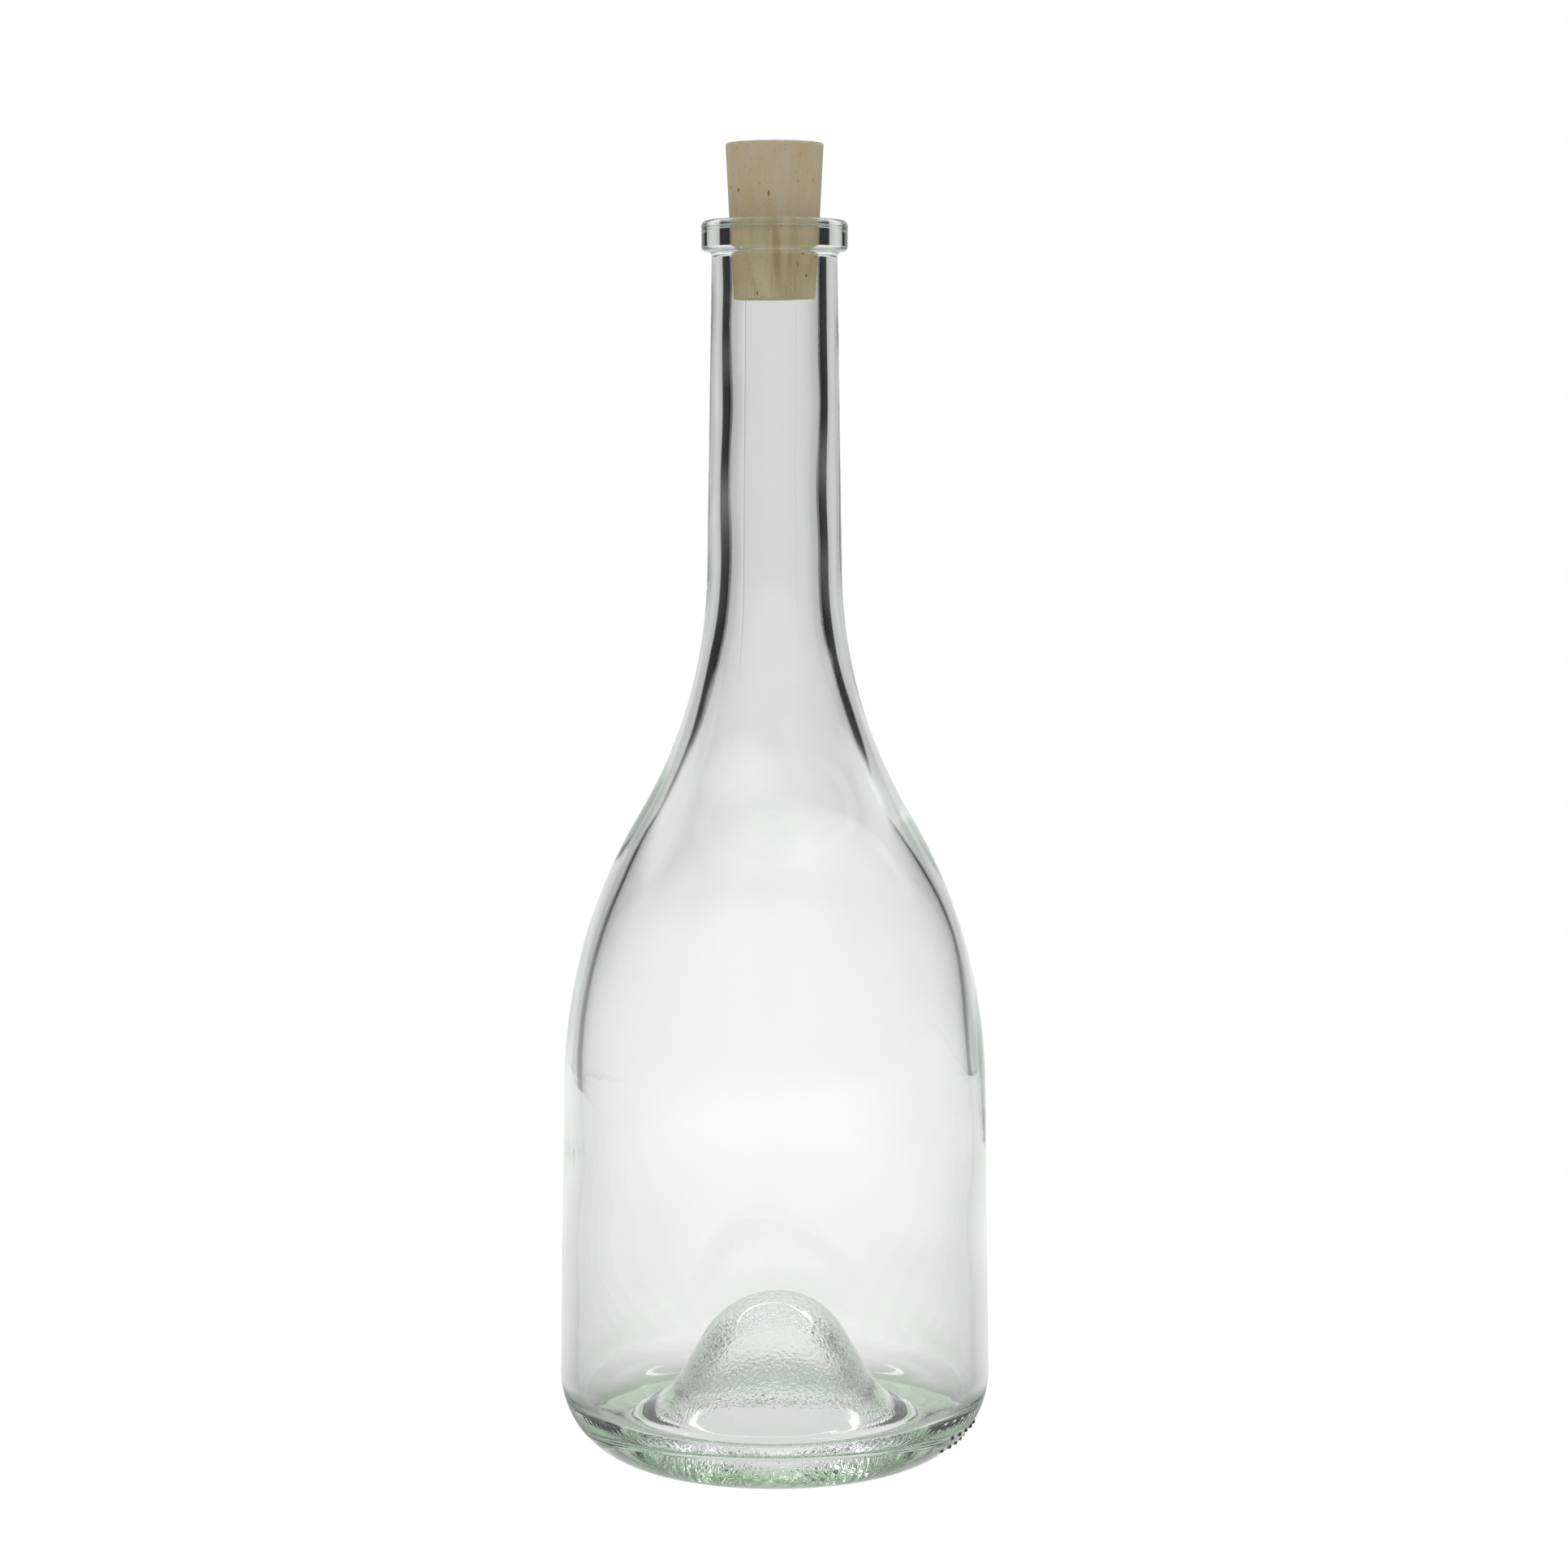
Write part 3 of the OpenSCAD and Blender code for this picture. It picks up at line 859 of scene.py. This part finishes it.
def natural_cork(cork):
    """Natural cork: pale with tan upright streaks, fine specks and dark pits, and peach round the
    top edge.
    Inside the neck it has painted light, a brighter and yellower colour in place of the light that
    the glass keeps from it, and a tan vein there."""
    material, start, output = new_material("natural_cork")
    point = start.node("ShaderNodeTexCoord", out=3)
    height = point.part("Z")
    streak = point.scaled(1, 1, 0.12).noise(cork.streak_scale, 3.0, 0.6).between(0.45, 0.75)
    cloud = point.scaled(1, 1, 0.5).noise(cork.cloud_scale, 3.0).between(0.35, 0.7)
    speck = point.scaled(1, 1, 0.5).noise(cork.speck_scale, 2.0).between(0.62, 0.74)
    # Painted light: the cork under the mouth takes a brighter, yellower colour, in place of the
    # light that the glass keeps from it
    neck_light_z = GLASS_HIGH.z - cork.neck_light_depth
    painted_neck_light = 1 - height.between(neck_light_z, neck_light_z + cork.neck_light_fade)
    plain = painted_neck_light.mix(opaque(cork.pale), opaque(cork.painted_neck_light))
    pale = (streak * 0.6 + cloud * 0.35).mix(plain, opaque(cork.tan))
    specked = (speck * 0.3).mix(pale, opaque(cork.dark))
    wide = cork.rim_width
    top = height.between(CORK_HIGH.z - wide, CORK_HIGH.z - wide / 8)
    edge = top * point.radius().between(cork.top - wide, cork.top - wide * 3 / 8)
    rimmed = (edge * streak.between(0.0, 0.6) * 0.75 + edge * 0.2).mix(specked, opaque(cork.rim))
    off = (point.part("X") - cork.vein_place).math("ABSOLUTE")
    vein = (1 - off.between(cork.vein / 6, cork.vein)) * painted_neck_light * cloud.between(0.0, 0.8)
    veined = (vein * 0.5).mix(rimmed, opaque(cork.tan))
    shade = start.attribute("pit").between(0.15, 0.8).mix(veined, opaque(cork.dark))
    fine = point.scaled(1, 1, 0.3).noise(cork.grain_scale, 4.0, 0.65) - speck * 0.6
    bump = start.node("ShaderNodeBump", {"Height": fine, "Strength": 0.5, "Distance": cork.rough})
    surface = start.node("ShaderNodeBsdfPrincipled", {
        "Base Color": shade, "Roughness": 0.78 + streak * 0.15, "Normal": bump,
        "Specular IOR Level": 0.25,
    })
    surface.to(output)
    return material


def two_levels(start, seen, unseen):
    """One brightness to the camera and another to everything else"""
    ray = start.node("ShaderNodeLightPath", out=0)
    return ray * seen + (1 - ray) * unseen


def floor_material(settings):
    """Floor, white to the camera. The glass sees rings of light round the bottle, and more light
    on the left and the right of it, both close to it and farther out."""
    material, start, output = new_material("pale_floor")
    point = start.node("ShaderNodeTexCoord", out=3)
    r = point.radius()
    off = point.part("X").math("ABSOLUTE")
    rings = sum(r.between(inner, outer) * gain for inner, outer, gain in FLOOR_RINGS)
    close = 1 - r.between(*CLOSE_RADII)
    near = off.between(*NEAR_SIDES) * close * 0.14
    wide = off.between(*WIDE_SIDES) * (1 - close - r.between(*WIDE_RADII)) * 0.07
    level = two_levels(start, settings.white, rings + near + wide + settings.floor_light)
    start.node("ShaderNodeEmission", {"Color": level}).to(output)
    return material


def add_stage_mesh(name, points, faces, material):
    """Mesh of the stage"""
    mesh = bpy.data.meshes.new(name)
    mesh.from_pydata(points, [], faces)
    mesh.update()
    mesh.materials.append(material)
    thing = bpy.data.objects.new(name, mesh)
    bpy.context.scene.collection.objects.link(thing)
    return thing


def add_floor(settings):
    """Plain pale floor just under the standing face"""
    half, z = settings.floor_size, -settings.floor_gap
    points = [(-half, -half, z), (half, -half, z), (half, half, z), (-half, half, z)]
    add_stage_mesh("floor", points, [(0, 1, 2, 3)], floor_material(settings))


def sky(settings):
    """Surroundings, white to the camera. The glass sees a soft studio, a little darker near the
    horizon and high up behind the bottle, and half way up behind it a narrow strip of light,
    which is weaker in the middle."""
    world = bpy.data.worlds.new("studio")
    bpy.context.scene.world = world
    world.use_nodes = True
    tree = world.node_tree
    tree.nodes.clear()
    output = tree.nodes.new("ShaderNodeOutputWorld")
    start = Value(tree)
    way = start.node("ShaderNodeTexCoord", out=0)
    up, back = way.part("Z"), way.part("Y")
    gap = 0.3 + way.part("X").math("ABSOLUTE").between(0.15, 0.35) * 0.7
    strip = up.between(0.725, 0.735) * (1 - up.between(0.762, 0.772)) * settings.strip_light
    dim = up.between(0.6, 0.85) * back.between(0.0, 0.2) * 0.45
    low = up.between(0.08, 0.22) * 0.13
    unseen = low + strip * gap * back.between(0.2, 0.4) - dim + settings.horizon
    level = two_levels(start, settings.white, unseen)
    start.node("ShaderNodeBackground", {"Color": level}).to(output)


def veil(turn):
    """Thin veil over the far side of the studio, which grows from the middle outwards"""
    return turn.between(0.03, 0.2) * 0.3


def finish_card(start, output, solid, shade):
    """Surface of a card: clear where solid is 0, and a dull glow of this shade where it is 1. It
    is clear to light that the cork has scattered, so that it doesn't darken the cork."""
    scattered = start.node("ShaderNodeLightPath", out="Diffuse Depth").math("MINIMUM", 1)
    clear = start.node("ShaderNodeBsdfTransparent")
    dull = start.node("ShaderNodeEmission", {"Color": shade})
    share = solid * (1 - scattered)
    start.node("ShaderNodeMixShader", {0: share, 1: clear, 2: dull}).to(output)


def card_material():
    """Tall card: clear right behind the bottle, black beside it and grey towards the camera, and
    thinner at its foot. Its own U is the turn from the far side, in half turns, and its own V the
    height over the view's middle, in lengths of the card's arm. It fades out at the top but for a
    high part, whose slit lets the strip of light through."""
    material, start, output = new_material("black_card")
    place = start.node("ShaderNodeUVMap", settings={"uv_map": "place"})
    turn, rise = place.part("X"), place.part("Y")
    low = 1 - rise.between(-0.12, 0.12)
    black = turn.between(0.19, 0.225) * (1 - low * 0.4) * 0.7
    side = (veil(turn) + black) * (1 - turn.between(0.48, 0.9))
    front = turn.between(0.5, 0.8) * rise.between(-0.2, 0.0) * 0.85
    beside = (turn + low * 0.18).between(0.42, 0.5)
    top = 1 - rise.between(0.24, 0.4 + beside * 0.9)
    slit = rise.between(0.8, 0.84) * (1 - rise.between(1.01, 1.05))
    high = turn.between(0.1, 0.22) * (1 - turn.between(0.45, 0.65) * 0.6)
    high = high * rise.between(0.55, 0.8) * (1 - slit) * 0.8
    solid = (side + front) * top * (1 - high) + high
    grey = (turn + low * 0.26).between(0.5, 0.6)
    finish_card(start, output, solid, (grey * 0.2 - front * 0.1) * (1 - high))
    return material


def foot_material(settings):
    """Low card: dark grey beside the bottle, fading out towards the far side and the camera"""
    material, start, output = new_material("foot_card")
    turn = start.node("ShaderNodeUVMap", settings={"uv_map": "place"}).part("X")
    dark = turn.between(0.19, 0.45) * 0.5
    solid = (veil(turn) + dark) * (1 - turn.between(0.5, 0.8))
    finish_card(start, output, solid, opaque(settings.foot_shade))
    return material


def add_card(name, side, rows, material, settings, camera):
    """Curved card round the view's middle, which only the glass shows: a strip between two rows of
    points, each given by its arm, or radius, and its height over the view's middle"""
    steps = 48
    turn = np.linspace(0, 1, steps + 1)
    points = [
        np.column_stack((
            side * arm * np.sin(turn * math.pi), arm * np.cos(turn * math.pi),
            np.full(steps + 1, high),
        ))
        for arm, high in rows
    ]
    first = np.arange(steps)
    faces = np.column_stack((first, first + 1, first + steps + 2, first + steps + 1))
    card = add_stage_mesh(name, np.concatenate(points).tolist(), faces.tolist(), material)
    corners = np.zeros(len(card.data.loops), int)
    card.data.loops.foreach_get("vertex_index", corners)
    rise = np.array([high / arm for arm, high in rows])
    place = np.column_stack((turn[corners % (steps + 1)], rise[corners // (steps + 1)]))
    card.data.uv_layers.new(name="place").data.foreach_set("uv", place.ravel())
    card.visible_camera = False
    card.visible_diffuse = False
    card.visible_shadow = False
    card.parent = camera
    card.location = (0, 0, -settings.distance)
    card.rotation_euler = (settings.pitch - math.pi / 2, 0, 0)


def add_cards(settings, camera):
    """Cards round the bottle: a tall one on each side draws the dark lines in its wall, and a low
    one on each side darkens its heel"""
    tall, low = card_material(), foot_material(settings)
    arm, foot = settings.arm, -settings.foot
    tall_rows = ((arm, -settings.card_low), (arm, settings.card_high))
    low_rows = ((settings.foot_start, foot), (arm, foot))
    for side, name in ((-1, "left"), (1, "right")):
        add_card("card_" + name, side, tall_rows, tall, settings, camera)
        add_card("foot_card_" + name, side, low_rows, low, settings, camera)


def add_camera(settings):
    """Camera at the photograph's angle"""
    data = bpy.data.cameras.new("camera")
    data.lens = settings.lens
    data.sensor_width = settings.sensor
    camera = bpy.data.objects.new("camera", data)
    camera.location = (settings.aside, -settings.distance, settings.lift)
    camera.rotation_euler = (math.pi / 2 - settings.pitch, 0, 0)
    bpy.context.scene.collection.objects.link(camera)
    bpy.context.scene.camera = camera
    return camera


class BOTTLE_OT_stage(bpy.types.Operator):
    """Set up the camera, the floor, the surroundings and the cards"""

    bl_idname = "bottle.stage"
    bl_label = "Set the stage"

    def execute(self, context):
        settings = context.scene.bottle_stage
        camera = add_camera(settings)
        add_floor(settings)
        sky(settings)
        add_cards(settings, camera)
        context.scene.view_settings.view_transform = "Standard"
        cycles = context.scene.cycles
        cycles.max_bounces = 32
        cycles.transmission_bounces = 32
        cycles.glossy_bounces = 24
        return {"FINISHED"}


class BOTTLE_OT_glass(bpy.types.Operator):
    """Blow the bottle: one closed surface for the outside, the lip, the inside and the push-up"""

    bl_idname = "bottle.glass"
    bl_label = "Blow the glass"

    def execute(self, context):
        size, finish = context.scene.bottle_sizes, context.scene.bottle_finish
        mesh = fill_mesh("bottle_glass", *blown_glass(size, finish))
        add_piece(
            "bottle_glass", mesh, clear_glass(size, finish), "bottle", "bottle"
        )
        return {"FINISHED"}


class BOTTLE_OT_cork(bpy.types.Operator):
    """Cut the cork: a tapered plug with its pits, chips and grain"""

    bl_idname = "bottle.cork"
    bl_label = "Cut the cork"

    def execute(self, context):
        cork = context.scene.bottle_cork
        mesh = fill_mesh("cork_plug", *cut_cork(cork, CORK_LOW.z, CORK_HIGH.z))
        add_piece(
            "cork_plug", mesh, natural_cork(cork), "stopper", "cork_stopper"
        )
        return {"FINISHED"}


class VIEW3D_PT_bottle(bpy.types.Panel):
    """Sizes and steps of the bottle"""

    bl_label = "Bottle"
    bl_space_type = "VIEW_3D"
    bl_region_type = "UI"
    bl_category = "Bottle"

    def draw(self, context):
        layout = self.layout
        for step in STEPS:
            layout.operator(step.bl_idname)
        for key, _ in GROUPS:
            group = getattr(context.scene, key)
            box = layout.box()
            for name in group.bl_rna.properties.keys():
                if name not in ("rna_type", "name"):
                    box.prop(group, name)


STEPS = (BOTTLE_OT_stage, BOTTLE_OT_glass, BOTTLE_OT_cork)
GROUPS = (
    ("bottle_sizes", BottleSizes),
    ("bottle_finish", GlassFinish),
    ("bottle_cork", CorkSizes),
    ("bottle_stage", StageSettings),
)


def register():
    for _, group in GROUPS:
        bpy.utils.register_class(group)
    for cls in (*STEPS, VIEW3D_PT_bottle):
        bpy.utils.register_class(cls)
    for key, group in GROUPS:
        setattr(bpy.types.Scene, key, PointerProperty(type=group))


def unregister():
    for key, _ in GROUPS:
        delattr(bpy.types.Scene, key)
    for cls in (VIEW3D_PT_bottle, *reversed(STEPS)):
        bpy.utils.unregister_class(cls)
    for _, group in reversed(GROUPS):
        bpy.utils.unregister_class(group)


def main():
    """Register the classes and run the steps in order"""
    register()
    bpy.ops.bottle.stage()
    bpy.ops.bottle.glass()
    bpy.ops.bottle.cork()


if __name__ == "__main__":
    main()
